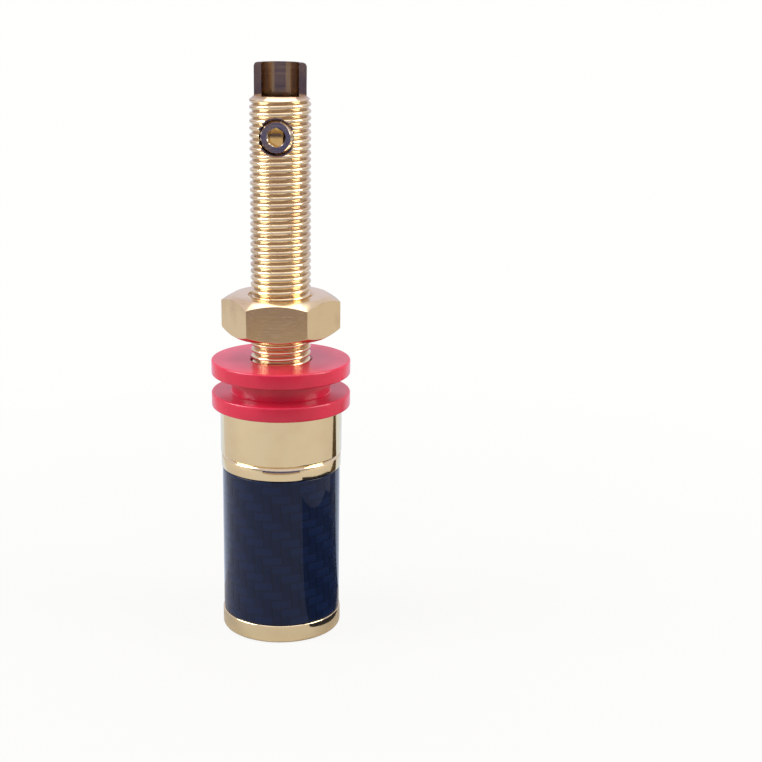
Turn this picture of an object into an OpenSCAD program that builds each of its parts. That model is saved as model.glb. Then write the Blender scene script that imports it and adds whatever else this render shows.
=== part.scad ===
// Long-tail speaker binding post with a screw-down knob, insulators for a panel,
// a mounting nut and a solder cup with a grub screw. It stands on its knob's nose,
// with +Z from the nose to the tail. Threads are plain cylinders of their outer size.

/* [Thread] */
// Outer diameter of the stud's thread
thread_d = 9; // [8:0.25:10]
// Pitch of the stud's thread
thread_pitch = 1; // [0.75:0.05:1.25]
// Radial gap between a part and the thread or neck that it turns on
running_gap = 0.05; // [0.02:0.01:0.08]

/* [Knob] */
// Diameter of the knob's front flange
nose_d = 18.3; // [17:0.1:20]
// Height of the knob's front flange
nose_h = 2.8; // [2:0.1:4]
// Radius of the front flange's outer edge
nose_round = 0.5; // [0.2:0.1:0.8]
// Bevel round the mouth of the knob's hole
mouth_bevel = 0.5; // [0.2:0.1:0.8]
// Length of the knob's body between its flange and the pressure ring
body_l = 23.2; // [20:0.1:28]
// Outer diameter of the sleeve round the knob's body
sleeve_d = 18; // [17:0.1:19]
// Wall of the sleeve
sleeve_wall = 1.4; // [0.8:0.1:1.8]
// Bond line between the sleeve and the body
bond_gap = 0.05; // [0.02:0.01:0.1]
// Open joint between the sleeve and the pressure ring
sleeve_joint = 0.12; // [0.05:0.01:0.3]

/* [Pressure ring] */
// Diameter of the pressure ring
ring_d = 18.3; // [17:0.1:20]
// Height of the pressure ring
ring_h = 2.1; // [2:0.1:3]
// Height of the web that turns on the knob's neck
ring_web_h = 1.15; // [0.8:0.05:1.3]
// Wall of the neck that carries the ring
neck_wall = 1.35; // [1:0.05:1.6]
// How far the neck's peened lip stands out
lip_w = 0.5; // [0.3:0.05:0.8]
// Height of the peened lip
lip_h = 0.55; // [0.3:0.05:0.6]
// End play of the ring under the lip
end_play = 0.05; // [0.03:0.01:0.1]

/* [Stud] */
// Diameter of the collar
collar_d = 18.5; // [17:0.1:20]
// Height of the collar
collar_h = 7.4; // [5:0.1:10]
// Bevel on the edges of the collar and the pressure ring
edge_bevel = 0.3; // [0.1:0.05:0.5]
// Length of the thread in front of the collar
front_l = 20; // [18:0.1:22]
// Length of the thread behind the collar
rear_l = 46.3; // [42:0.1:60]
// Bevel at the front end of the thread
end_bevel = 0.5; // [0.3:0.1:0.8]
// Width of the relief groove beside the collar
relief_w = 1.2; // [0.8:0.1:1.8]
// Diameter of the banana socket
socket_d = 4; // [3.8:0.1:4.4]
// Depth of the banana socket before its drill point
socket_l = 12.4; // [10:0.1:12.6]
// Bevel round the mouth of the banana socket
socket_bevel = 0.3; // [0.1:0.1:0.6]
// Diameter of the cross hole for bare wire
wire_hole_d = 4.2; // [3:0.1:4.4]
// From the collar's face to the near edge of the cross hole
wire_hole_gap = 1.5; // [1:0.1:2]

/* [Panel insulators] */
// Diameter of both insulators
insulator_d = 21; // [18:0.1:24]
// Thickness of the front bushing's flange
flange_h = 2.25; // [1.5:0.05:3]
// Diameter of the spigot that fills the panel's hole
spigot_d = 15; // [13:0.1:17]
// Length of the spigot, the thickest panel that it passes
spigot_l = 2.7; // [1:0.1:5]
// Thickness of the rear washer
washer_h = 2.25; // [1.5:0.05:3]
// Rounding of the insulators' edges
insulator_round = 0.25; // [0.1:0.05:0.5]
// Radial gap between the insulators and the thread
insulator_gap = 0.08; // [0.05:0.01:0.1]

/* [Nut] */
// Nut across its flats
nut_af = 15.5; // [13:0.1:19]
// Height of the nut
nut_h = 6.2; // [4:0.1:8]
// Distance that the nut stands off the rear washer
nut_standoff = 3.7; // [0.5:0.1:6]
// How far the nut is turned from facing the grub screw
nut_turn = 4.5; // [0:0.5:30]
// Slope of the chamfer on the nut's corners
nut_slope = 30; // [15:1:40]

/* [Tail] */
// Outer diameter of the solder cup
cup_d = 7.7; // [7.2:0.1:7.8]
// Bore of the solder cup
cup_bore_d = 5.5; // [5:0.1:6]
// Length of the solder cup beyond the thread
cup_l = 4.7; // [3:0.1:8]
// Narrower bore under the cup, where the grub screw grips the wire
wire_bore_d = 4.5; // [4.2:0.1:4.8]
// From the tapped hole up to the step between the two bores
step_gap = 0.35; // [0.2:0.05:0.8]
// Depth of the wire bore below the cup's floor
wire_bore_l = 10; // [9:0.1:12]
// Height of the bevel that ends the thread
tail_bevel = 0.55; // [0.3:0.05:0.8]
// Bevel round the rim of the cup
rim_bevel = 0.5; // [0.2:0.1:0.8]

/* [Grub screw] */
// Diameter of the grub screw
screw_d = 5; // [4:0.1:5]
// Length of the grub screw
screw_l = 4; // [3:0.1:4.2]
// From the cup's floor down to the grub screw's axis
screw_drop = 5.7; // [5:0.1:6.2]
// Hexagon socket across its flats
hex_af = 2.5; // [2:0.1:3]
// Depth of the hexagon socket
hex_l = 2; // [1:0.1:2.2]
// Diameter of the grub screw's flat point
point_d = 2.5; // [2:0.1:3]
// How far the face lies under the level at which its edge would meet the thread's crest
screw_inset = 0.05; // [0.03:0.01:0.5]
// How far the tapped hole runs past the stud's axis
tap_overrun = 0.8; // [0.4:0.1:1]
// Width of the flat seat milled round the tapped hole
seat_w = 0.25; // [0.1:0.05:0.4]

/* [Hidden] */
$fn = 96;

// Overshoot of a cutter past the face that it leaves
CUT = 1;
// Half of a twist drill's point angle
DRILL_HALF_ANGLE = 59;
// Share of the pitch that an internal thread's minor diameter loses
MINOR_FACTOR = 1.0825;
// Share of the pitch that the external thread's root loses
ROOT_FACTOR = 1.227;

thread_r = thread_d / 2;
minor_r = (thread_d - MINOR_FACTOR * thread_pitch) / 2;
root_r = (thread_d - ROOT_FACTOR * thread_pitch) / 2;
turning_r = thread_r + running_gap;

// Levels up the post, from the nose face at 0
body_z = nose_h;
ring_z = body_z + body_l;
collar_z = ring_z + ring_h;
flange_z = collar_z + collar_h;
spigot_z = flange_z + flange_h;
washer_z = spigot_z + spigot_l;
nut_z = washer_z + washer_h + nut_standoff;
cup_z = flange_z + rear_l;
top_z = cup_z + cup_l;
front_z = collar_z - front_l;

// Neck, lip and the ring's own bore and recess
neck_r = turning_r + neck_wall;
lip_r = neck_r + lip_w;
ring_bore_r = neck_r + running_gap;
ring_recess_r = lip_r + 2 * running_gap;
lip_z = ring_z + ring_web_h + end_play;

// Sleeve and the body inside it
sleeve_r = sleeve_d / 2;
sleeve_bore_r = sleeve_r - sleeve_wall;
body_r = sleeve_bore_r - bond_gap;
sleeve_edge = sleeve_wall / 9;

// Where the knob's hole widens for the stud, just short of the stud's end
hole_step_z = front_z - end_bevel;

wire_hole_z = collar_z - wire_hole_gap - wire_hole_d / 2;
screw_z = cup_z - screw_drop;
screw_face_r = sqrt(pow(thread_r, 2) - pow(screw_d / 2, 2)) - screw_inset;
tapped_r = screw_d / 2 + running_gap;
cup_bore_z = screw_z + tapped_r + step_gap;
insulator_bore_r = thread_r + insulator_gap;

GOLD = [0.85, 0.75, 0.53];
CARBON = [0.10, 0.12, 0.20];
RED = [0.80, 0.13, 0.24];

// Quarter circle of points round a centre, from one angle to another
function arc(centre, radius, from, to, steps = 8) =
    [for (i = [0 : steps]) let (a = from + (to - from) * i / steps)
        centre + radius * [cos(a), sin(a)]];

// Hole of a twist drill: a straight wall and a drill point, mouth at the origin, going down
module drilled_hole(radius, depth) {
    point_h = radius / tan(DRILL_HALF_ANGLE);
    rotate_extrude()
        polygon([[0, CUT], [radius, CUT], [radius, -depth], [0, -depth - point_h]]);
}

// Six-sided prism along Z, with two of its flats facing along Y
module hex_prism(across_flats, height) {
    cylinder(d = across_flats / cos(30), h = height, $fn = 6);
}

// Turned body of the stud: front thread, relief, collar, rear thread and cup
module stud_turning() {
    rotate_extrude()
        polygon([
            [0, front_z],
            [thread_r - end_bevel, front_z],
            [thread_r, front_z + end_bevel],
            [thread_r, collar_z - relief_w - (thread_r - root_r)],
            [root_r, collar_z - relief_w],
            [root_r, collar_z],
            [collar_d / 2 - edge_bevel, collar_z],
            [collar_d / 2, collar_z + edge_bevel],
            [collar_d / 2, flange_z - edge_bevel],
            [collar_d / 2 - edge_bevel, flange_z],
            [thread_r, flange_z],
            [thread_r, cup_z - tail_bevel],
            [cup_d / 2, cup_z],
            [cup_d / 2, top_z - rim_bevel],
            [cup_d / 2 - rim_bevel, top_z],
            [0, top_z]
        ]);
}

// Banana socket with its bevelled mouth, open towards the nose
module banana_socket() {
    translate([0, 0, front_z])
        mirror([0, 0, 1])
            drilled_hole(socket_d / 2, socket_l);
    translate([0, 0, front_z])
        cylinder(r1 = socket_d / 2 + socket_bevel, r2 = socket_d / 2, h = socket_bevel);
}

// Tapped hole through the front wall of the wire bore, with its milled seat
module tapped_hole() {
    translate([0, 0, screw_z])
        rotate([90, 0, 0]) {
            translate([0, 0, -tap_overrun])
                cylinder(r = tapped_r, h = tap_overrun + thread_r + CUT);
            translate([0, 0, screw_face_r])
                cylinder(r = tapped_r + seat_w, h = thread_r - screw_face_r + CUT);
        }
}

// Front half of the tail above the cup's floor
module cup_opening() {
    translate([-cup_d, -2 * cup_d, cup_z])
        cube([2 * cup_d, 2 * cup_d, cup_l + CUT]);
}

module stud() {
    color(GOLD)
        difference() {
            stud_turning();
            banana_socket();
            translate([0, 0, wire_hole_z])
                rotate([90, 0, 0])
                    cylinder(d = wire_hole_d, h = 2 * collar_d, center = true);
            translate([0, 0, cup_z])
                drilled_hole(wire_bore_d / 2, wire_bore_l);
            translate([0, 0, cup_bore_z])
                cylinder(d = cup_bore_d, h = top_z - cup_bore_z + CUT);
            tapped_hole();
            cup_opening();
        }
}

// Knob's turned core: nose flange, body under the sleeve, neck and peened lip
module knob_core() {
    nose_r = nose_d / 2;
    color(GOLD)
        rotate_extrude()
            polygon(concat(
                [[minor_r + mouth_bevel, 0]],
                arc([nose_r - nose_round, nose_round], nose_round, -90, 0),
                [
                    [nose_r, body_z - sleeve_edge],
                    [nose_r - sleeve_edge, body_z],
                    [body_r, body_z],
                    [body_r, ring_z],
                    [neck_r, ring_z],
                    [neck_r, lip_z],
                    [lip_r, lip_z],
                    [lip_r, lip_z + lip_h],
                    [turning_r, lip_z + lip_h],
                    [turning_r, hole_step_z + (turning_r - minor_r)],
                    [minor_r, hole_step_z],
                    [minor_r, mouth_bevel]
                ]
            ));
}

// Tube of carbon fibre bonded round the knob's body
module carbon_sleeve() {
    sleeve_top = ring_z - sleeve_joint;
    color(CARBON)
        rotate_extrude()
            polygon([
                [sleeve_bore_r, body_z],
                [sleeve_r - sleeve_edge, body_z],
                [sleeve_r, body_z + sleeve_edge],
                [sleeve_r, sleeve_top - sleeve_edge],
                [sleeve_r - sleeve_edge, sleeve_top],
                [sleeve_bore_r, sleeve_top]
            ]);
}

// Ring that clamps the wire and doesn't turn with the knob
module pressure_ring() {
    ring_r = ring_d / 2;
    recess_z = ring_z + ring_web_h;
    color(GOLD)
        rotate_extrude()
            polygon([
                [ring_bore_r, ring_z],
                [ring_r - sleeve_edge, ring_z],
                [ring_r, ring_z + sleeve_edge],
                [ring_r, collar_z - edge_bevel],
                [ring_r - edge_bevel, collar_z],
                [ring_recess_r, collar_z],
                [ring_recess_r, recess_z],
                [ring_bore_r, recess_z]
            ]);
}

// Insulator in front of the panel, with the spigot that fills the panel's hole
module front_bushing() {
    flange_r = insulator_d / 2;
    spigot_r = spigot_d / 2;
    color(RED)
        rotate_extrude()
            polygon(concat(
                [[insulator_bore_r, flange_z]],
                arc([flange_r - insulator_round, flange_z + insulator_round],
                    insulator_round, -90, 0),
                arc([flange_r - insulator_round, spigot_z - insulator_round],
                    insulator_round, 0, 90),
                [
                    [spigot_r, spigot_z],
                    [spigot_r, washer_z],
                    [insulator_bore_r, washer_z]
                ]
            ));
}

// Insulator behind the panel
module rear_washer() {
    washer_r = insulator_d / 2;
    washer_top = washer_z + washer_h;
    color(RED)
        rotate_extrude()
            polygon(concat(
                [[insulator_bore_r, washer_z]],
                arc([washer_r - insulator_round, washer_z + insulator_round],
                    insulator_round, -90, 0),
                arc([washer_r - insulator_round, washer_top - insulator_round],
                    insulator_round, 0, 90),
                [[insulator_bore_r, washer_top]]
            ));
}

// Hexagon nut with turned chamfers on its corners and in its thread's mouths
module mounting_nut() {
    flat_r = nut_af / 2;
    corner_r = flat_r / cos(30);
    drop = (corner_r - flat_r) * tan(nut_slope);
    color(GOLD)
        translate([0, 0, nut_z])
            difference() {
                intersection() {
                    rotate([0, 0, nut_turn])
                        hex_prism(nut_af, nut_h);
                    rotate_extrude()
                        polygon([
                            [0, 0],
                            [flat_r, 0],
                            [corner_r, drop],
                            [corner_r, nut_h - drop],
                            [flat_r, nut_h],
                            [0, nut_h]
                        ]);
                }
                translate([0, 0, -CUT])
                    cylinder(r = turning_r, h = nut_h + 2 * CUT);
            }
}

// Socket-head grub screw with a flat point, its face towards -Y
module grub_screw() {
    point_h = (screw_d - point_d) / 2;
    color(GOLD)
        translate([0, -screw_face_r, screw_z])
            rotate([-90, 0, 0])
                difference() {
                    rotate_extrude()
                        polygon([
                            [0, 0],
                            [screw_d / 2, 0],
                            [screw_d / 2, screw_l - point_h],
                            [point_d / 2, screw_l],
                            [0, screw_l]
                        ]);
                    translate([0, 0, -CUT])
                        rotate([0, 0, 90])
                            hex_prism(hex_af, hex_l + CUT);
                }
}

stud();
knob_core();
carbon_sleeve();
pressure_ring();
front_bushing();
rear_washer();
mounting_nut();
grub_screw();
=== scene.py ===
"""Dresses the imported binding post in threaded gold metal, woven carbon and red plastic."""

import logging
import math
from dataclasses import dataclass
from enum import Enum

import bpy
from mathutils import Matrix, Vector


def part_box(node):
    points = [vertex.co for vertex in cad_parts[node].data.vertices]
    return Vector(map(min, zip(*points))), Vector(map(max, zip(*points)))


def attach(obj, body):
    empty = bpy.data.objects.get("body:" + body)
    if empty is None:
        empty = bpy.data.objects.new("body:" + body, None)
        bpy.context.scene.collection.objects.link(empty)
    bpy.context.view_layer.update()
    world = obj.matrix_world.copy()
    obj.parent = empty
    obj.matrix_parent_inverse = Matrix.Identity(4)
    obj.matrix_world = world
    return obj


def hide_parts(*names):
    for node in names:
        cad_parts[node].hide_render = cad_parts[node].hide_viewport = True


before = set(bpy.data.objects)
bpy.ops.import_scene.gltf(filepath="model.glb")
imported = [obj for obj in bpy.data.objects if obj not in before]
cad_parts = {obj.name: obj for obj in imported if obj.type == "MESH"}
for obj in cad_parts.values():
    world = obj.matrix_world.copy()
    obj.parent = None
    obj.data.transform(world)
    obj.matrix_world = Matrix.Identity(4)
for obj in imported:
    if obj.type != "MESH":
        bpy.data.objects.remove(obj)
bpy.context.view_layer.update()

log = logging.getLogger("binding_post")

MM = 0.001
FULL_TURN = 2 * math.pi
HEX_CORNER = math.radians(30)
MERGE_GAP = 2e-7
FACE_WEIGHT = 80
Profile = list[tuple[float, float]]
Colour = tuple[float, float, float]


class Body(Enum):
    """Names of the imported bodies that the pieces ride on."""

    POST = "post"
    RING = "ring"
    KNOB = "knob"
    WASHER = "washer"
    NUT = "nut"
    SCREW = "screw"


class Cut(Enum):
    """Ways in which one solid changes another."""

    JOIN = "UNION"
    REMOVE = "DIFFERENCE"
    TRIM = "INTERSECT"


# Modelling


def arc(centre: tuple[float, float], radius: float, start: float, end: float, steps: int = 6) -> Profile:
    """Points of a round edge in a profile.

    Args:
        centre: Radius and height of the arc's centre, in metres.
        radius: Radius of the arc.
        start: First angle in degrees, from the outward direction towards up.
        end: Last angle in degrees.
        steps: Number of chords.

    Returns:
        The arc's points, both ends included.
    """
    angles = [math.radians(start + (end - start) * i / steps) for i in range(steps + 1)]
    return [(centre[0] + radius * math.cos(a), centre[1] + radius * math.sin(a)) for a in angles]


def make_active(obj: bpy.types.Object) -> None:
    """Selects one object alone and makes it the active one."""
    deselect()
    obj.select_set(True)
    bpy.context.view_layer.objects.active = obj


def deselect() -> None:
    """Leaves nothing selected, so that an operator acts on the new piece only."""
    if bpy.context.object and bpy.context.object.mode != "OBJECT":
        bpy.ops.object.mode_set(mode="OBJECT")
    bpy.ops.object.select_all(action="DESELECT")


def settle(obj: bpy.types.Object) -> None:
    """Puts an object's place, turn and size into its mesh."""
    make_active(obj)
    bpy.ops.object.transform_apply(location=True, rotation=True, scale=True)


def draw_line(name: str, points: Profile) -> bpy.types.Object:
    """Draws an open line in the plane of X and Z by extruding one point.

    Args:
        name: Name of the new object.
        points: Radius and height of each point, in metres.

    Returns:
        The object, left in edit mode.
    """
    deselect()
    bpy.ops.mesh.primitive_plane_add(size=MM, enter_editmode=True)
    line = bpy.context.object
    line.name = name
    line.data.name = name
    bpy.ops.mesh.select_all(action="SELECT")
    bpy.ops.mesh.merge(type="CENTER")
    bpy.ops.transform.translate(value=(points[0][0], 0.0, points[0][1]))
    for before, after in zip(points, points[1:]):
        step = (after[0] - before[0], 0.0, after[1] - before[1])
        bpy.ops.mesh.extrude_region_move(TRANSFORM_OT_translate={"value": step})
    return line


def close_up() -> None:
    """Merges doubles, turns the faces outwards and leaves edit mode."""
    bpy.ops.mesh.select_all(action="SELECT")
    bpy.ops.mesh.remove_doubles(threshold=MERGE_GAP)
    bpy.ops.mesh.select_all(action="SELECT")
    bpy.ops.mesh.normals_make_consistent(inside=False)
    bpy.ops.object.mode_set(mode="OBJECT")


def turned(name: str, points: Profile, steps: int = 160) -> bpy.types.Object:
    """Turns a profile round the Z axis, as on a lathe.

    Args:
        name: Name of the new object.
        points: The profile. One that starts off the axis is closed back to its first point.
        steps: Facets round the axis.

    Returns:
        The turned solid, in object mode.
    """
    closing = points[:1] if points[0][0] > 0 else []
    solid = draw_line(name, points + closing)
    bpy.ops.mesh.select_all(action="SELECT")
    bpy.ops.mesh.spin(steps=steps, angle=FULL_TURN, center=(0, 0, 0), axis=(0, 0, 1))
    close_up()
    return solid


def drill(name: str, radius: float, low: float, high: float, point: float = 0.0) -> bpy.types.Object:
    """Makes a round cutter along Z.

    Args:
        name: Name of the cutter.
        radius: Radius of the hole that it leaves.
        low: Lower end of its straight wall.
        high: Upper end of its straight wall.
        point: Height of the drill point under the lower end.

    Returns:
        The cutter.
    """
    return turned(name, [(0.0, low - point), (radius, low), (radius, high), (0.0, high)], steps=96)


def hexagon(name: str, across_flats: float, low: float, high: float, turn: float = 0.0) -> bpy.types.Object:
    """Makes a six-sided prism along Z, with corners along Y before it is turned.

    Args:
        name: Name of the prism.
        across_flats: Distance between two opposite flats.
        low: Height of its lower end.
        high: Height of its upper end.
        turn: Angle in degrees by which it is turned.

    Returns:
        The prism.
    """
    deselect()
    bpy.ops.mesh.primitive_cylinder_add(
        vertices=6,
        radius=across_flats / 2 / math.cos(HEX_CORNER),
        depth=high - low,
        location=(0, 0, (low + high) / 2),
        rotation=(0, 0, math.radians(turn)),
    )
    prism = bpy.context.object
    prism.name = name
    settle(prism)
    return prism


def combine(target: bpy.types.Object, tool: bpy.types.Object, how: Cut) -> None:
    """Joins, cuts or trims one solid by another and deletes the tool.

    Args:
        target: Solid that is changed.
        tool: Solid that changes it.
        how: What the tool does.
    """
    make_active(target)
    step = target.modifiers.new(how.name.lower(), "BOOLEAN")
    step.operation = how.value
    step.solver = "MANIFOLD"
    step.object = tool
    bpy.ops.object.modifier_apply(modifier=step.name)
    bpy.data.objects.remove(tool, do_unlink=True)


def soften(obj: bpy.types.Object, width: float, degrees: float = 25.0) -> None:
    """Breaks the sharp edges of a solid with a small bevel."""
    make_active(obj)
    bevel = obj.modifiers.new("broken edges", "BEVEL")
    bevel.width = width
    bevel.segments = 2
    bevel.limit_method = "ANGLE"
    bevel.angle_limit = math.radians(degrees)
    bpy.ops.object.modifier_apply(modifier=bevel.name)


def smooth(obj: bpy.types.Object, degrees: float = 32.0) -> None:
    """Shades smooth, with steeper edges kept crisp and wide faces kept true beside their bevels."""
    make_active(obj)
    bpy.ops.object.shade_smooth_by_angle(angle=math.radians(degrees))
    weigh = obj.modifiers.new("true faces", "WEIGHTED_NORMAL")
    weigh.keep_sharp = True
    weigh.weight = FACE_WEIGHT
    bpy.ops.object.modifier_apply(modifier=weigh.name)


@dataclass(frozen=True)
class Thread:
    """A right-hand thread along Z.

    Args:
        crest: Radius of the crests.
        depth: Depth from crest to root.
        pitch: Rise of one turn.
        crest_round: Radius of the round on the crests.
        facets: Facets in one turn.
    """

    crest: float
    depth: float
    pitch: float
    crest_round: float
    facets: int = 64

    def tooth(self) -> Profile:
        """Returns one pitch of the profile, from root to root, with straight 60 degree flanks."""
        full_height = self.pitch * math.cos(HEX_CORNER)
        root_round = full_height - self.depth - self.crest_round
        root = self.crest - self.depth + root_round
        half = self.pitch / 2
        low = arc((root, -half), root_round, 180, 120, 3)
        top = arc((self.crest - self.crest_round, 0.0), self.crest_round, -60, 60, 6)
        high = arc((root, half), root_round, -120, -180, 3)
        return low + top + high

    def rod(self, name: str, low: float, high: float) -> bpy.types.Object:
        """Cuts the thread on a rod, with flat ends.

        Args:
            name: Name of the rod.
            low: Height of its lower end.
            high: Height of its upper end.

        Returns:
            The closed rod.
        """
        start = low - 1.5 * self.pitch
        rod = draw_line(name, [(r, z + start) for r, z in self.tooth()])
        make_active(rod)
        screw = rod.modifiers.new("thread", "SCREW")
        screw.axis = "Z"
        screw.angle = FULL_TURN
        screw.screw_offset = self.pitch
        screw.iterations = math.ceil((high - low) / self.pitch) + 3
        screw.steps = self.facets
        screw.render_steps = self.facets
        bpy.ops.object.modifier_apply(modifier=screw.name)
        bpy.ops.object.mode_set(mode="EDIT")
        bpy.ops.mesh.select_all(action="SELECT")
        bpy.ops.mesh.remove_doubles(threshold=MERGE_GAP)
        for height, facing in ((low, 1.0), (high, -1.0)):
            bpy.ops.mesh.select_all(action="SELECT")
            bpy.ops.mesh.bisect(
                plane_co=(0, 0, height),
                plane_no=(0, 0, facing),
                use_fill=True,
                clear_inner=True,
                threshold=1e-8,
            )
        close_up()
        return rod


# Finishes


class Graph:
    """Node tree of one material, with short ways to add and join its nodes."""

    def __init__(self, name: str) -> None:
        """Starts a material with a Principled shader and the piece's own coordinates."""
        self.material = bpy.data.materials.new(name)
        self.material.use_nodes = True
        self.tree = self.material.node_tree
        self.tree.nodes.clear()
        self.shader = self.tree.nodes.new("ShaderNodeBsdfPrincipled")
        output = self.tree.nodes.new("ShaderNodeOutputMaterial")
        self.join(self.shader.outputs["BSDF"], output.inputs["Surface"])
        self.place = self.tree.nodes.new("ShaderNodeTexCoord").outputs["Object"]

    def join(self, source: bpy.types.NodeSocket, target: bpy.types.NodeSocket) -> None:
        """Links two sockets."""
        self.tree.links.new(source, target)

    def feed(self, target: bpy.types.NodeSocket, value: object) -> None:
        """Links a socket or sets a plain value, whichever is given."""
        if isinstance(value, bpy.types.NodeSocket):
            self.join(value, target)
        else:
            target.default_value = value

    def math(self, operation: str, first: object, second: object = 0.0) -> bpy.types.NodeSocket:
        """Adds a Math node and returns its result."""
        node = self.tree.nodes.new("ShaderNodeMath")
        node.operation = operation
        self.feed(node.inputs[0], first)
        self.feed(node.inputs[1], second)
        return node.outputs[0]

    def axes(self, vector: bpy.types.NodeSocket) -> list[bpy.types.NodeSocket]:
        """Splits a vector into its three parts."""
        node = self.tree.nodes.new("ShaderNodeSeparateXYZ")
        self.join(vector, node.inputs[0])
        return list(node.outputs)

    def vector(self, *parts: object) -> bpy.types.NodeSocket:
        """Puts three parts together into a vector."""
        node = self.tree.nodes.new("ShaderNodeCombineXYZ")
        for socket, part in zip(node.inputs, parts):
            self.feed(socket, part)
        return node.outputs[0]

    def turned_place(self, density: float, drift: float) -> bpy.types.NodeSocket:
        """Coordinates that run quickly across a lathe's cutting marks and slowly along them.

        Args:
            density: How many marks a metre holds.
            drift: How far a mark changes in one turn.

        Returns:
            The vector.
        """
        x, y, z = self.axes(self.place)
        radius = self.radius(x, y)
        angle = self.math("ARCTAN2", y, x)
        return self.vector(
            self.math("MULTIPLY", radius, density),
            self.math("MULTIPLY", self.math("SINE", angle), drift),
            self.math("MULTIPLY", z, density),
        )

    def radius(self, x: object, y: object) -> bpy.types.NodeSocket:
        """Distance from the Z axis."""
        return self.math("SQRT", self.math("ADD", self.math("MULTIPLY", x, x), self.math("MULTIPLY", y, y)))

    def noise(self, vector: object, scale: float, detail: float = 2.0) -> bpy.types.NodeSocket:
        """Adds a noise texture and returns its value."""
        node = self.tree.nodes.new("ShaderNodeTexNoise")
        self.join(vector, node.inputs["Vector"])
        node.inputs["Scale"].default_value = scale
        node.inputs["Detail"].default_value = detail
        return node.outputs["Fac"]

    def spread(self, value: object, low: float, high: float, start: float = 0.0, end: float = 1.0) -> object:
        """Maps a value from one range to another, held at its ends."""
        node = self.tree.nodes.new("ShaderNodeMapRange")
        self.feed(node.inputs["Value"], value)
        node.inputs["From Min"].default_value = start
        node.inputs["From Max"].default_value = end
        node.inputs["To Min"].default_value = low
        node.inputs["To Max"].default_value = high
        return node.outputs["Result"]

    def blend(self, factor: object, first: object, second: object) -> bpy.types.NodeSocket:
        """Mixes two colours."""
        node = self.tree.nodes.new("ShaderNodeMix")
        node.data_type = "RGBA"
        self.feed(node.inputs["Factor"], factor)
        for socket, value in ((node.inputs[6], first), (node.inputs[7], second)):
            self.feed(socket, (*value, 1.0) if isinstance(value, tuple) else value)
        return node.outputs[2]

    def bump(self, height: object, depth: float, before: object = None) -> bpy.types.NodeSocket:
        """Adds a bump of a true depth in metres, on top of an earlier one if given."""
        node = self.tree.nodes.new("ShaderNodeBump")
        node.inputs["Strength"].default_value = 1.0
        node.inputs["Distance"].default_value = depth
        self.join(height, node.inputs["Height"])
        if before is not None:
            self.join(before, node.inputs["Normal"])
        return node.outputs["Normal"]

    def set(self, **values: object) -> None:
        """Sets or links the shader's sockets, named with underscores for spaces."""
        for key, value in values.items():
            socket = self.shader.inputs[key.replace("_", " ")]
            self.feed(socket, (*value, 1.0) if isinstance(value, tuple) and len(value) == 3 else value)


@dataclass(frozen=True)
class GoldPlate:
    """Gold plate on turned metal, with cutting marks, soft smudges, and painted shade: a darker tone nearer
    the axis, in thread roots and hollows.

    Args:
        name: Name of the finish.
        colour: Colour on the open surfaces.
        deep: Colour in the smudges, and the painted shade in the roots and hollows.
        gloss: Lowest and highest roughness.
        marks: How many cutting marks a metre holds.
        mark_depth: Depth of the marks.
        root: Radius at which the painted shade is full, or 0 for none.
        crest: Radius at which the painted shade ends.
    """

    name: str
    colour: Colour
    deep: Colour
    gloss: tuple[float, float]
    marks: float
    mark_depth: float
    root: float = 0.0
    crest: float = 1.0

    def material(self) -> bpy.types.Material:
        """Builds the material."""
        graph = Graph(self.name)
        x, y, _ = graph.axes(graph.place)
        marks = graph.noise(graph.turned_place(self.marks, 0.6), 1.0, 3.0)
        smudges = graph.noise(graph.place, 260.0, 4.0)
        grain = graph.noise(graph.place, 5200.0, 2.0)
        smudges_and_painted_shade = graph.spread(smudges, 0.0, 0.75, 0.45, 0.72)
        # Painted shade: nearer the axis the colour turns to the deep colour, full at the root radius, in
        # thread roots and every hollow inside it.
        if self.root:
            depth = graph.spread(graph.radius(x, y), 1.0, 0.0, self.root, self.crest)
            smudges_and_painted_shade = graph.math("MAXIMUM", smudges_and_painted_shade, depth)
        rough = graph.spread(graph.math("MULTIPLY", smudges, marks), *self.gloss, 0.1, 0.45)
        normal = graph.bump(marks, self.mark_depth)
        normal = graph.bump(grain, self.mark_depth * 0.25, normal)
        graph.set(
            Base_Color=graph.blend(smudges_and_painted_shade, self.colour, self.deep),
            Metallic=1.0,
            Roughness=rough,
            Normal=normal,
        )
        return graph.material


@dataclass(frozen=True)
class RedPlastic:
    """Turned red plastic with a soft gloss, slightly translucent.

    Args:
        name: Name of the finish.
        colour: Main colour.
        deep: Colour of the darker clouds in it.
    """

    name: str
    colour: Colour
    deep: Colour

    def material(self) -> bpy.types.Material:
        """Builds the material."""
        graph = Graph(self.name)
        marks = graph.noise(graph.turned_place(3200.0, 0.5), 1.0, 2.0)
        clouds = graph.noise(graph.place, 180.0, 3.0)
        peel = graph.noise(graph.place, 1500.0, 2.0)
        normal = graph.bump(marks, 1.1e-6)
        normal = graph.bump(peel, 2.2e-6, normal)
        graph.set(
            Base_Color=graph.blend(graph.spread(clouds, 0.0, 1.0, 0.35, 0.7), self.colour, self.deep),
            Roughness=graph.spread(clouds, 0.16, 0.27, 0.3, 0.7),
            Normal=normal,
            IOR=1.53,
            Subsurface_Weight=0.12,
            Subsurface_Scale=0.0012,
        )
        graph.shader.inputs["Subsurface Radius"].default_value = (1.0, 0.22, 0.2)
        return graph.material


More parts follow.
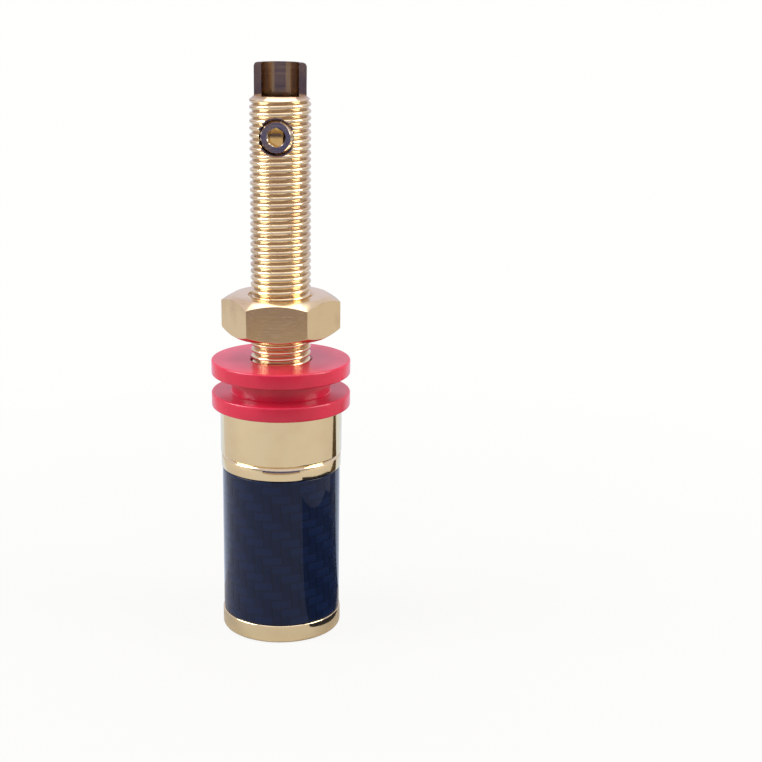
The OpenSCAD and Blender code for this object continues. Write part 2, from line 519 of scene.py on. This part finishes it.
@dataclass(frozen=True)
class CarbonTwill:
    """Two by two carbon twill wrapped round a tube, under clear lacquer.

    Args:
        name: Name of the finish.
        tows: Number of tows round the tube, a multiple of four.
        tow: Width of a tow along the tube.
        lengthwise: Colour of the tows that run along the tube; the navy tint of both colours is painted
            reflection.
        crosswise: Colour of the tows that run round it, lighter as painted fibre sheen.
    """

    name: str
    tows: int
    tow: float
    lengthwise: Colour
    crosswise: Colour

    def material(self) -> bpy.types.Material:
        """Builds the material."""
        graph = Graph(self.name)
        x, y, z = graph.axes(graph.place)
        around = graph.math("MULTIPLY", graph.math("ARCTAN2", y, x), self.tows / FULL_TURN)
        along = graph.math("DIVIDE", z, self.tow)
        step = graph.math("ADD", graph.math("FLOOR", around), graph.math("FLOOR", along))
        over = graph.math("LESS_THAN", graph.math("FLOORED_MODULO", step, 4.0), 1.5)
        crown_a = self.crown(graph, around)
        crown_b = self.crown(graph, along)
        fibre_a = graph.noise(graph.vector(graph.math("MULTIPLY", around, 14.0), along, 0.0), 1.0, 1.0)
        fibre_b = graph.noise(graph.vector(around, graph.math("MULTIPLY", along, 14.0), 0.0), 1.0, 1.0)
        height = self.pick(graph, over, crown_a, crown_b)
        fibre = self.pick(graph, over, fibre_a, fibre_b)
        # Painted shade: the colour darkens towards near black on the low sides of each tow, where the tows
        # meet.
        edge = graph.spread(height, 1.0, 0.0, 0.1, 0.75)
        # Painted sheen: the crosswise tows are coloured lighter than the lengthwise ones, and both carry a
        # painted navy reflection.
        weave = graph.blend(over, self.crosswise, self.lengthwise)
        shade = graph.blend(graph.spread(fibre, 0.0, 0.55, 0.35, 0.7), weave, self.lengthwise)
        normal = graph.bump(height, 3.0e-5)
        normal = graph.bump(fibre, 6.0e-6, normal)
        graph.set(
            Base_Color=graph.blend(graph.math("MULTIPLY", edge, 0.6), shade, (0.002, 0.003, 0.006)),
            Roughness=graph.spread(fibre, 0.3, 0.5, 0.3, 0.7),
            Normal=normal,
            Coat_Weight=1.0,
            Coat_Roughness=0.03,
            Coat_IOR=1.27,
            Specular_IOR_Level=0.1,
        )
        return graph.material

    def crown(self, graph: Graph, place: bpy.types.NodeSocket) -> bpy.types.NodeSocket:
        """Height across one tow, round like a flattened strand."""
        wave = graph.math("SINE", graph.math("MULTIPLY", graph.math("FRACT", place), math.pi))
        return graph.math("POWER", wave, 0.5)

    def pick(self, graph: Graph, over: object, first: object, second: object) -> bpy.types.NodeSocket:
        """Takes the first value where the lengthwise tow lies on top, and the second elsewhere."""
        under = graph.math("SUBTRACT", 1.0, over)
        return graph.math("ADD", graph.math("MULTIPLY", over, first), graph.math("MULTIPLY", under, second))


POLISHED = GoldPlate("polished gold", (0.86, 0.71, 0.44), (0.80, 0.63, 0.37), (0.05, 0.13), 5200.0, 1.5e-6)
# Painted shade: the deep colour darkens the thread roots and everything nearer the axis, the relief groove,
# the solder cup and its holes.
CUT_GOLD = GoldPlate(
    "gold on the thread",
    (0.86, 0.70, 0.44),
    (0.55, 0.38, 0.22),
    (0.1, 0.2),
    6000.0,
    1.5e-6,
    root=4.06 * MM,
    crest=4.3 * MM,
)
DRAWN_GOLD = GoldPlate("gold on the nut", (0.84, 0.66, 0.38), (0.70, 0.50, 0.30), (0.14, 0.3), 7000.0, 6e-6)
# Painted shade: the colour turns deeper golden-brown down the screw's hex socket, nearer the post's axis.
SCREW_GOLD = GoldPlate(
    "gold on the grub screw",
    (0.6, 0.52, 0.42),
    (0.72, 0.47, 0.15),
    (0.12, 0.26),
    7000.0,
    2e-6,
    root=2.2 * MM,
    crest=3.5 * MM,
)
RED = RedPlastic("red plastic", (0.64, 0.014, 0.05), (0.52, 0.01, 0.036))
# Painted reflection and sheen: navy tows, the crosswise ones lighter.
CARBON = CarbonTwill("carbon twill", 40, 1.4 * MM, (0.002, 0.008, 0.030), (0.004, 0.012, 0.044))


def present(
    piece: bpy.types.Object, body: Body, node: str, finish: bpy.types.Material, name: str
) -> bpy.types.Object:
    """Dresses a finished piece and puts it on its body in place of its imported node.

    Args:
        piece: The finished solid.
        body: Body that it rides on.
        node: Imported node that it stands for.
        finish: Its material, in the first slot.
        name: Name that it keeps.

    Returns:
        The piece.
    """
    piece.name = name
    piece.data.name = name
    if finish.name not in piece.data.materials:
        piece.data.materials.clear()
        piece.data.materials.append(finish)
    settle(piece)
    smooth(piece)
    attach(piece, body.value)
    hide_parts(node)
    log.info("%s rides on %s with %d faces", name, body.value, len(piece.data.polygons))
    return piece


# The post's sub-assemblies


@dataclass(frozen=True)
class Levels:
    """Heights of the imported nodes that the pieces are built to.

    Args:
        front: Front end of the stud.
        collar: Front face of the collar.
        flange: Rear face of the collar, where the front insulator starts.
        spigot_top: Rear end of the front insulator.
        washer_top: Rear face of the rear insulator.
        cup_top: Rear end of the solder cup.
        sleeve_low: Front end of the carbon sleeve.
        sleeve_high: Rear end of the carbon sleeve.
        ring: Front face of the clamping ring.
        core_top: Rear end of the knob's lip.
    """

    front: float
    collar: float
    flange: float
    spigot_top: float
    washer_top: float
    cup_top: float
    sleeve_low: float
    sleeve_high: float
    ring: float
    core_top: float

    @classmethod
    def measured(cls) -> "Levels":
        """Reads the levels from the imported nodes."""
        stud, ring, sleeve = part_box("stud"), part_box("pressure_ring"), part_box("carbon_sleeve")
        bushing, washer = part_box("front_bushing"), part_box("rear_washer")
        return cls(
            front=stud[0].z,
            collar=ring[1].z,
            flange=bushing[0].z,
            spigot_top=bushing[1].z,
            washer_top=washer[1].z,
            cup_top=stud[1].z,
            sleeve_low=sleeve[0].z,
            sleeve_high=sleeve[1].z,
            ring=ring[0].z,
            core_top=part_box("knob_core")[1].z,
        )


@dataclass(frozen=True)
class Stud:
    """The stud: front thread, collar, rear thread and solder cup, with its holes.

    Args:
        levels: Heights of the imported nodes.
    """

    levels: Levels
    thread: Thread = Thread(crest=4.5 * MM, depth=0.43 * MM, pitch=1.0 * MM, crest_round=0.34 * MM)
    collar_radius: float = 9.25 * MM
    collar_edge: float = 0.3 * MM
    relief_width: float = 1.2 * MM
    relief_radius: float = 3.87 * MM
    end_bevel: float = 0.5 * MM
    cup_length: float = 4.7 * MM
    cup_radius: float = 3.85 * MM
    cup_bore: float = 2.75 * MM
    cup_bevel: float = 0.5 * MM
    tail_bevel: float = 0.55 * MM
    wire_bore: float = 2.25 * MM
    wire_depth: float = 10.0 * MM
    step_gap: float = 0.35 * MM
    tapped_radius: float = 2.55 * MM
    tapped_overrun: float = 0.8 * MM
    seat_width: float = 0.25 * MM
    socket_radius: float = 2.0 * MM
    socket_depth: float = 12.4 * MM
    socket_bevel: float = 0.3 * MM
    cross_radius: float = 2.1 * MM
    cross_gap: float = 1.5 * MM
    clear: float = 1.0 * MM
    drill_slope: float = math.tan(math.radians(31))
    crest_room: float = 0.02 * MM
    polish_margin: float = 0.05 * MM

    def envelope(self) -> bpy.types.Object:
        """Turned outline that the threaded rod is trimmed to."""
        at, outer = self.levels, self.thread.crest + self.crest_room
        relief = at.collar - self.relief_width
        lead = outer - self.relief_radius
        return turned(
            "outline",
            [
                (0.0, at.front),
                (self.thread.crest - self.end_bevel, at.front),
                (outer, at.front + self.end_bevel),
                (outer, relief - lead),
                (self.relief_radius, relief),
                (self.relief_radius, at.flange - self.clear),
                (outer, at.flange - self.clear / 2),
                (outer, self.cup_floor() - self.tail_bevel),
                (self.cup_radius, self.cup_floor()),
                (0.0, self.cup_floor()),
            ],
        )

    def cup_floor(self) -> float:
        """Height at which the thread ends and the half-round cup starts."""
        return self.levels.cup_top - self.cup_length

    def collar(self) -> bpy.types.Object:
        """The collar, with softly broken edges."""
        low, high, edge = self.levels.collar, self.levels.flange, self.collar_edge
        rim = self.collar_radius
        profile = [
            (0.0, low),
            (rim - edge, low),
            (rim - 0.15 * edge, low + 0.7 * edge),
            (rim, low + 1.1 * edge),
            (rim, high - edge),
            (rim - edge, high),
            (0.0, high),
        ]
        return turned("collar", profile, steps=256)

    def cup(self) -> bpy.types.Object:
        """The solder cup's outside, started inside the thread."""
        top, rim, edge = self.levels.cup_top, self.cup_radius, self.cup_bevel
        return turned(
            "cup",
            [
                (0.0, self.cup_floor() - self.clear),
                (rim, self.cup_floor() - self.clear),
                (rim, top - edge),
                (rim - 0.35 * edge, top - 0.25 * edge),
                (rim - edge, top),
                (0.0, top),
            ],
        )

    def holes(self) -> list[bpy.types.Object]:
        """Cutters of every hole in the stud."""
        at, floor = self.levels, self.cup_floor()
        screw = (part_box("grub_screw")[0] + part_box("grub_screw")[1]) / 2
        face = -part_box("grub_screw")[0].y
        step = screw.z + self.tapped_radius + self.step_gap
        cup = drill("cup bore", self.cup_bore, step, at.cup_top + self.clear)
        wire_low = floor - self.wire_depth
        wire_point = self.wire_bore * self.drill_slope
        wire = drill("wire bore", self.wire_bore, wire_low, step + self.clear, wire_point)
        bottom = at.front + self.socket_depth
        mouth = self.socket_radius + self.socket_bevel
        socket = turned(
            "banana socket",
            [
                (0.0, at.front - self.clear),
                (mouth, at.front - self.clear),
                (mouth, at.front),
                (self.socket_radius, at.front + self.socket_bevel),
                (self.socket_radius, bottom),
                (0.0, bottom + self.socket_radius * self.drill_slope),
            ],
            steps=96,
        )
        outside = self.thread.crest + self.clear
        tapped = drill("tapped hole", self.tapped_radius, -self.tapped_overrun, outside)
        seat = drill("seat", self.tapped_radius + self.seat_width, face, outside)
        cross = drill("cross hole", self.cross_radius, -self.collar_radius, self.collar_radius)
        for cutter, height in (
            (tapped, screw.z),
            (seat, screw.z),
            (cross, at.collar - self.cross_gap - self.cross_radius),
        ):
            cutter.rotation_euler.x = math.radians(90)
            cutter.location.z = height
            settle(cutter)
        return [cup, wire, socket, tapped, seat, cross, self.opening()]

    def opening(self) -> bpy.types.Object:
        """Cutter of the cup's open front half."""
        deselect()
        width = 4 * self.cup_radius
        height = self.cup_length + self.clear
        bpy.ops.mesh.primitive_cube_add(size=1.0, location=(0, -width / 2, self.cup_floor() + height / 2))
        cutter = bpy.context.object
        cutter.scale = (width, width, height)
        settle(cutter)
        return cutter

    def build(self, polished: bpy.types.Material, cut: bpy.types.Material) -> bpy.types.Object:
        """Builds the stud, its collar polished and the rest in thread gold."""
        rod = self.thread.rod("rod", self.levels.front, self.cup_floor())
        combine(rod, self.envelope(), Cut.TRIM)
        combine(rod, self.collar(), Cut.JOIN)
        combine(rod, self.cup(), Cut.JOIN)
        for cutter in self.holes():
            combine(rod, cutter, Cut.REMOVE)
        rod.data.materials.clear()
        rod.data.materials.append(cut)
        rod.data.materials.append(polished)
        edge = self.thread.crest + self.polish_margin
        for face in rod.data.polygons:
            centre = face.center
            face.material_index = int(math.hypot(centre.x, centre.y) > edge)
        return present(rod, Body.POST, "stud", cut, "threaded_stud")


@dataclass(frozen=True)
class Knob:
    """The knob: turned core with its nose, carbon sleeve, and the clamping ring on its neck.

    Args:
        levels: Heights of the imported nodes.
    """

    levels: Levels
    nose_radius: float = 9.15 * MM
    nose_round: float = 0.5 * MM
    mouth_bevel: float = 0.5 * MM
    bore: float = 4.55 * MM
    minor: float = 3.959 * MM
    hole_step: float = 7.6 * MM
    body_radius: float = 7.55 * MM
    neck_radius: float = 5.9 * MM
    lip_radius: float = 6.4 * MM
    lip_height: float = 0.55 * MM
    sleeve_radius: float = 9.0 * MM
    sleeve_bore: float = 7.6 * MM
    sleeve_edge: float = 0.16 * MM
    ring_radius: float = 9.15 * MM
    ring_edge: float = 0.3 * MM
    ring_bore: float = 5.95 * MM
    ring_recess: float = 6.5 * MM
    ring_web: float = 1.15 * MM
    tool: Thread = Thread(crest=4.5 * MM, depth=0.6 * MM, pitch=1.0 * MM, crest_round=0.12 * MM)

    def core(self, finish: bpy.types.Material) -> bpy.types.Object:
        """Builds the turned core with the thread in its nose."""
        at, rim = self.levels, self.nose_radius
        body, lip = at.sleeve_low, at.core_top - self.lip_height
        profile = [(self.minor + self.mouth_bevel, 0.0)]
        profile += arc((rim - self.nose_round, self.nose_round), self.nose_round, -90, 0, 8)
        profile += arc((rim - self.sleeve_edge, body - self.sleeve_edge), self.sleeve_edge, 0, 90, 4)
        profile += [
            (self.body_radius, body),
            (self.body_radius, at.ring),
            (self.neck_radius, at.ring),
            (self.neck_radius, lip),
            (self.lip_radius, lip),
            (self.lip_radius, at.core_top - 0.15 * MM),
            (self.lip_radius - 0.15 * MM, at.core_top),
            (self.bore, at.core_top),
            (self.bore, self.hole_step + self.bore - self.minor),
            (self.minor, self.hole_step),
            (self.minor, self.mouth_bevel),
        ]
        core = turned("core", profile, steps=256)
        combine(core, self.tool.rod("tap", -0.5 * MM, self.hole_step), Cut.REMOVE)
        return present(core, Body.KNOB, "knob_core", finish, "knob_body")

    def sleeve(self, finish: bpy.types.Material) -> bpy.types.Object:
        """Builds the carbon tube with its rounded ends."""
        low, high, edge = self.levels.sleeve_low, self.levels.sleeve_high, self.sleeve_edge
        profile = [(self.sleeve_bore, low)]
        profile += arc((self.sleeve_radius - edge, low + edge), edge, -90, 0, 4)
        profile += arc((self.sleeve_radius - edge, high - edge), edge, 0, 90, 4)
        profile += [(self.sleeve_bore, high)]
        tube = turned("tube", profile, steps=256)
        return present(tube, Body.KNOB, "carbon_sleeve", finish, "carbon_tube")

    def ring(self, finish: bpy.types.Material) -> bpy.types.Object:
        """Builds the ring that clamps the wire."""
        low, high, rim = self.levels.ring, self.levels.collar, self.ring_radius
        profile = [(self.ring_bore, low)]
        profile += arc((rim - self.sleeve_edge, low + self.sleeve_edge), self.sleeve_edge, -90, 0, 4)
        profile += [
            (rim, high - 1.1 * self.ring_edge),
            (rim - 0.15 * self.ring_edge, high - 0.7 * self.ring_edge),
            (rim - self.ring_edge, high),
            (self.ring_recess, high),
            (self.ring_recess, low + self.ring_web),
            (self.ring_bore, low + self.ring_web),
        ]
        ring = turned("ring", profile, steps=256)
        return present(ring, Body.RING, "pressure_ring", finish, "clamping_ring")


@dataclass(frozen=True)
class PanelFittings:
    """The two red insulators that hold the post in a panel.

    Args:
        levels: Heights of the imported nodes.
    """

    levels: Levels
    radius: float = 10.5 * MM
    bore: float = 4.58 * MM
    edge: float = 0.25 * MM
    flange_height: float = 2.25 * MM
    spigot_radius: float = 7.5 * MM
    spigot_edge: float = 0.12 * MM
    mouth: float = 0.2 * MM

    def rim(self, low: float, high: float) -> Profile:
        """Outer edge of a flange, rounded at both corners."""
        centre = self.radius - self.edge
        lower = arc((centre, low + self.edge), self.edge, -90, 0)
        upper = arc((centre, high - self.edge), self.edge, 0, 90)
        return lower + upper

    def front(self, finish: bpy.types.Material) -> bpy.types.Object:
        """Builds the front insulator with the spigot that fills the panel's hole."""
        low, top = self.levels.flange, self.levels.spigot_top
        high = low + self.flange_height
        profile = [(self.bore, low)] + self.rim(low, high)
        profile += [
            (self.spigot_radius + self.spigot_edge, high),
            (self.spigot_radius, high + self.spigot_edge),
            (self.spigot_radius, top),
            (self.bore, top),
        ]
        bushing = turned("bushing", profile, steps=256)
        return present(bushing, Body.POST, "front_bushing", finish, "front_insulator")

    def rear(self, finish: bpy.types.Material) -> bpy.types.Object:
        """Builds the plain rear insulator."""
        low, high = self.levels.spigot_top, self.levels.washer_top
        profile = [(self.bore, low)] + self.rim(low, high)
        profile += [(self.bore + self.mouth, high), (self.bore, high - self.mouth)]
        washer = turned("washer", profile, steps=256)
        return present(washer, Body.WASHER, "rear_washer", finish, "rear_insulator")


@dataclass(frozen=True)
class MountingNut:
    """The hexagon nut, with turned chamfers on its corners and in its mouths.

    Args:
        face_radius: Radius at which the corner chamfers start on both faces.
        rest_gap: Gap that keeps its lower face off the insulator when they seat.
    """

    across_flats: float = 15.5 * MM
    face_radius: float = 7.1 * MM
    turn: float = 4.5
    slope: float = 30.0
    bore: float = 4.55 * MM
    mouth: float = 0.4 * MM
    edge: float = 0.06 * MM
    rest_gap: float = 0.01 * MM
    tap: Thread = Thread(crest=4.98 * MM, depth=0.43 * MM, pitch=1.0 * MM, crest_round=0.12 * MM)

    def build(self, finish: bpy.types.Material) -> bpy.types.Object:
        """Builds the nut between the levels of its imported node."""
        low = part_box("mounting_nut")[0].z + self.rest_gap
        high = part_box("mounting_nut")[1].z
        flat = self.across_flats / 2
        corner = flat / math.cos(HEX_CORNER)
        drop = (corner - self.face_radius) * math.tan(math.radians(self.slope))
        nut = hexagon("nut", self.across_flats, low, high, self.turn + 90.0)
        inner = self.face_radius
        cone = [
            (0.0, low),
            (inner, low),
            (corner, low + drop),
            (corner, high - drop),
            (inner, high),
            (0.0, high),
        ]
        combine(nut, turned("chamfers", cone, steps=240), Cut.TRIM)
        soften(nut, self.edge)
        wide = self.bore + self.mouth
        hole = [
            (0.0, low - MM),
            (wide + MM, low - MM),
            (self.bore, low + self.mouth),
            (self.bore, high - self.mouth),
            (wide + MM, high + MM),
            (0.0, high + MM),
        ]
        combine(nut, turned("mouths", hole, steps=128), Cut.REMOVE)
        combine(nut, self.tap.rod("tap", low - MM, high + MM), Cut.REMOVE)
        return present(nut, Body.NUT, "mounting_nut", finish, "hexagon_nut")


@dataclass(frozen=True)
class WireScrew:
    """The grub screw that grips the wire in the tail.

    Args:
        socket: Distance across the socket's flats.
        socket_inset: How far the cone at the socket's mouth stays inside its corners.
        drill_angle: Slope of the drilled bottom.
    """

    radius: float = 2.5 * MM
    length: float = 4.0 * MM
    face_bevel: float = 0.3 * MM
    point_radius: float = 1.25 * MM
    socket: float = 2.5 * MM
    socket_depth: float = 2.0 * MM
    socket_inset: float = 0.07 * MM
    drill_angle: float = math.radians(30)
    thread: Thread = Thread(
        crest=2.5 * MM,
        depth=0.45 * MM,
        pitch=0.8 * MM,
        crest_round=0.12 * MM,
        facets=48,
    )

    def build(self, finish: bpy.types.Material) -> bpy.types.Object:
        """Builds the screw along Z and lays it into its hole, its socket outwards."""
        low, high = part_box("grub_screw")
        screw = self.thread.rod("screw", 0.0, self.length)
        outline = [
            (0.0, 0.0),
            (self.radius - self.face_bevel, 0.0),
            (self.radius, self.face_bevel),
            (self.radius, self.length - (self.radius - self.point_radius)),
            (self.point_radius, self.length),
            (0.0, self.length),
        ]
        combine(screw, turned("outline", outline, steps=96), Cut.TRIM)
        combine(screw, hexagon("socket", self.socket, -MM, self.socket_depth), Cut.REMOVE)
        flat = self.socket / 2
        drilled = flat * math.tan(self.drill_angle)
        corner = flat / math.cos(HEX_CORNER) - self.socket_inset
        cone = [
            (0.0, -MM),
            (corner + MM, -MM),
            (flat, corner - flat),
            (flat, self.socket_depth),
            (0.0, self.socket_depth + drilled),
        ]
        combine(screw, turned("drilled bottom", cone, steps=96), Cut.REMOVE)
        screw.rotation_euler.x = math.radians(-90)
        screw.location = (0.0, low.y, (low.z + high.z) / 2)
        settle(screw)
        return present(screw, Body.SCREW, "grub_screw", finish, "grub_screw_m5")


# Studio


@dataclass(frozen=True)
class Studio:
    """Pale floor, soft light, dark cards for the metal to reflect, and the camera.

    Args:
        distance: Level distance from the post's axis to the camera, along its heading.
        height: Height of the camera.
        aside: How far the axis lies to the right of the camera's heading.
        heading: Angle in degrees by which the camera's heading is turned from +Y towards -X.
        pitch: Angle in degrees by which the camera looks down.
        roll: Angle in degrees by which the camera is rolled.
        lens: Focal length in millimetres on a 36 mm sensor.
    """

    distance: float = 0.2176
    height: float = 0.0977
    aside: float = -0.01518
    heading: float = 5.2
    pitch: float = 15.02
    roll: float = 0.85
    lens: float = 70.06
    floor_radius: float = 12.0
    white: Colour = (1.0, 1.0, 0.985)
    paper: Colour = (0.45, 0.435, 0.41)
    sky: Colour = (0.84, 0.81, 1.0)
    sky_light: float = 0.6
    sky_mirrored: float = 0.9
    shadow_near: float = 0.02
    shadow_far: float = 0.16
    floor_glow: float = 0.9
    target: tuple[float, float, float] = (0.0, 0.0, 0.045)
    floor_reflection_height: float = 0.5 * MM
    dark_reflection_height: float = 0.7 * MM

    def along(self, forward: float, right: float, up: float) -> Vector:
        """Point given from the foot of the post's axis, in the camera's directions."""
        turn = math.radians(self.heading)
        ahead = Vector((-math.sin(turn), math.cos(turn), 0.0))
        aside = Vector((math.cos(turn), math.sin(turn), 0.0))
        return ahead * forward + aside * right + Vector((0.0, 0.0, up))

    def camera(self) -> None:
        """Places the camera."""
        data = bpy.data.cameras.new("camera")
        data.lens = self.lens
        data.sensor_width = 36.0
        data.clip_start = 0.01
        view = bpy.data.objects.new("camera", data)
        bpy.context.scene.collection.objects.link(view)
        turn = (
            Matrix.Rotation(math.radians(self.heading), 4, "Z")
            @ Matrix.Rotation(math.radians(90 - self.pitch), 4, "X")
            @ Matrix.Rotation(math.radians(self.roll), 4, "Z")
        )
        view.matrix_world = Matrix.Translation(self.along(-self.distance, -self.aside, self.height)) @ turn
        bpy.context.scene.camera = view

    def world(self) -> None:
        """Fills the room with soft light, and shows it white to the camera."""
        world = bpy.data.worlds.new("room")
        bpy.context.scene.world = world
        world.use_nodes = True
        tree = world.node_tree
        tree.nodes.clear()
        output = tree.nodes.new("ShaderNodeOutputWorld")
        rays = tree.nodes.new("ShaderNodeLightPath")
        shade = self.background(tree, self.sky, self.sky_light)
        for ray, colour, strength in (
            ("Is Glossy Ray", self.sky, self.sky_mirrored),
            ("Is Camera Ray", self.white, 1.0),
        ):
            mix = tree.nodes.new("ShaderNodeMixShader")
            over = self.background(tree, colour, strength)
            tree.links.new(rays.outputs[ray], mix.inputs[0])
            tree.links.new(shade.outputs[0], mix.inputs[1])
            tree.links.new(over.outputs[0], mix.inputs[2])
            shade = mix
        tree.links.new(shade.outputs[0], output.inputs[0])

    def background(self, tree: bpy.types.NodeTree, colour: Colour, strength: float) -> bpy.types.Node:
        """Adds a plain background of one colour and strength."""
        shade = tree.nodes.new("ShaderNodeBackground")
        shade.inputs["Color"].default_value = (*colour, 1.0)
        shade.inputs["Strength"].default_value = strength
        return shade

    def floor(self) -> None:
        """Lays the pale floor, which the camera sees white with a soft shadow."""
        deselect()
        bpy.ops.mesh.primitive_circle_add(vertices=96, radius=self.floor_radius, fill_type="NGON")
        floor = bpy.context.object
        floor.name = "floor"
        floor.location.z = -0.02 * MM
        material = bpy.data.materials.new("pale floor")
        material.use_nodes = True
        tree = material.node_tree
        tree.nodes.clear()
        output = tree.nodes.new("ShaderNodeOutputMaterial")
        rays = tree.nodes.new("ShaderNodeLightPath")
        paper = tree.nodes.new("ShaderNodeBsdfDiffuse")
        paper.inputs["Color"].default_value = (*self.paper, 1.0)
        glow = tree.nodes.new("ShaderNodeEmission")
        glow.inputs["Color"].default_value = (*self.white, 1.0)
        place = tree.nodes.new("ShaderNodeTexCoord")
        reach = tree.nodes.new("ShaderNodeVectorMath")
        reach.operation = "LENGTH"
        fade = tree.nodes.new("ShaderNodeMapRange")
        fade.inputs["From Min"].default_value = self.shadow_near
        fade.inputs["From Max"].default_value = self.shadow_far
        fade.inputs["To Min"].default_value = self.floor_glow
        share = tree.nodes.new("ShaderNodeMath")
        share.operation = "MULTIPLY"
        tree.links.new(place.outputs["Object"], reach.inputs[0])
        tree.links.new(reach.outputs["Value"], fade.inputs["Value"])
        tree.links.new(fade.outputs["Result"], share.inputs[1])
        mix = tree.nodes.new("ShaderNodeMixShader")
        tree.links.new(rays.outputs["Is Camera Ray"], share.inputs[0])
        tree.links.new(share.outputs[0], mix.inputs[0])
        tree.links.new(paper.outputs[0], mix.inputs[1])
        tree.links.new(glow.outputs[0], mix.inputs[2])
        tree.links.new(mix.outputs[0], output.inputs[0])
        floor.data.materials.append(material)

    def lamp(
        self, name: str, place: Vector, size: tuple[float, float], watts: float, tint: Colour
    ) -> None:
        """Hangs a soft box that faces the middle of the post.

        Args:
            name: Name of the lamp.
            place: Where it hangs.
            size: Its width and height.
            watts: Its power.
            tint: Colour of its light.
        """
        data = bpy.data.lights.new(name, "AREA")
        data.shape = "RECTANGLE"
        data.size, data.size_y = size
        data.energy = watts
        data.color = tint
        lamp = bpy.data.objects.new(name, data)
        bpy.context.scene.collection.objects.link(lamp)
        lamp.location = place
        lamp.rotation_euler = (Vector(self.target) - place).to_track_quat("-Z", "Y").to_euler()

    def card(self, name: str, corners: list[Vector], colour: Colour) -> None:
        """Stands up a card that only the shiny surfaces see, glowing with its colour as a painted
        reflection.

        Args:
            name: Name of the card.
            corners: Its four corners, in order.
            colour: Its colour, which shows as it is.
        """
        deselect()
        bpy.ops.mesh.primitive_plane_add(size=1.0)
        card = bpy.context.object
        card.name = name
        for vertex, corner in zip((0, 1, 3, 2), corners):
            card.data.vertices[vertex].co = corner
        material = bpy.data.materials.new(name)
        material.use_nodes = True
        tree = material.node_tree
        tree.nodes.clear()
        output = tree.nodes.new("ShaderNodeOutputMaterial")
        glow = tree.nodes.new("ShaderNodeEmission")
        glow.inputs["Color"].default_value = (*colour, 1.0)
        tree.links.new(glow.outputs[0], output.inputs[0])
        card.data.materials.append(material)
        card.visible_camera = False
        card.visible_diffuse = False
        card.visible_shadow = False
        card.visible_transmission = False

    def lay(self, name: str, places: Profile, height: float, colour: Colour) -> None:
        """Lays a card flat, its corners given as distance ahead and to the right of the post."""
        self.card(name, [self.along(ahead, aside, height) for ahead, aside in places], colour)

    def cards(self) -> None:
        """Lays glowing cards on the floor as painted reflections: tan and navy as painted shade on the floor
        in front, pale blue behind, and dark ones as painted shade to the right; stands a dark strip to the
        right as a painted reflection.
        """
        # Painted shade: tan and navy glowing cards stand in for the shaded floor in front, seen only in
        # reflections.
        for name, near, far, colour in (
            ("tan cloth", -0.150, -0.275, (0.42, 0.32, 0.25)),
            ("navy cloth", -0.275, -3.0, (0.075, 0.08, 0.24)),
        ):
            painted_floor_reflection = [(near, 0.6 * near), (near, -0.8 * near), (far, -0.8 * far), (far, 0.6 * far)]
            self.lay(name, painted_floor_reflection, self.floor_reflection_height, colour)
        # Painted reflection: a pale blue glowing card behind the post.
        behind = [(0.012, -0.04), (0.012, 0.04), (1.5, 1.2), (1.5, -1.2)]
        self.lay("blue cloth", behind, self.floor_reflection_height, (0.78, 0.86, 1.02))
        # Painted shade: dark glowing cards to the right stand in for the dark shade there, seen only in
        # reflections.
        for name, painted_reflection in (
            ("dark mat", [(-0.010, 0.009), (-0.054, 0.049), (0.008, 0.072), (0.010, 0.014)]),
            ("dark mat behind", [(0.010, 0.014), (0.008, 0.072), (0.046, 0.055), (0.011, 0.013)]),
        ):
            self.lay(name, painted_reflection, self.dark_reflection_height, (0.03, 0.03, 0.04))
        # Painted reflection: a dark glowing strip standing to the right.
        strip = [(0.014, 0.053, 0.0), (0.036, 0.042, 0.0), (0.027, 0.048, 0.026), (0.023, 0.050, 0.026)]
        self.card("dark strip", [self.along(*corner) for corner in strip], (0.09, 0.06, 0.035))

    def lights(self) -> None:
        """Hangs the soft boxes round the post."""
        for name, place, size, watts, tint in (
            ("window", (-0.12, -0.48, 0.34), (0.34, 0.42), 3.4, (0.95, 0.97, 1.0)),
            ("fill", (-0.10, 0.46, 0.30), (0.26, 0.40), 2.2, (1.0, 0.95, 0.88)),
            ("sky", (0.05, 0.0, 0.62), (0.5, 0.5), 1.7, (0.93, 0.94, 1.0)),
        ):
            self.lamp(name, self.along(*place), size, watts, tint)

    def build(self) -> None:
        """Sets the whole studio up."""
        self.camera()
        self.world()
        self.floor()
        self.cards()
        self.lights()
        bpy.context.scene.view_settings.view_transform = "Standard"


def main() -> None:
    """Builds the studio and every piece of the post, in order."""
    logging.basicConfig(level=logging.INFO, format="%(message)s")
    Studio().build()
    levels = Levels.measured()
    polished, cut, red = POLISHED.material(), CUT_GOLD.material(), RED.material()
    Stud(levels).build(polished, cut)
    knob = Knob(levels)
    knob.core(polished)
    knob.sleeve(CARBON.material())
    knob.ring(polished)
    fittings = PanelFittings(levels)
    fittings.front(red)
    fittings.rear(red)
    MountingNut().build(DRAWN_GOLD.material())
    WireScrew().build(SCREW_GOLD.material())


if __name__ == "__main__":
    main()
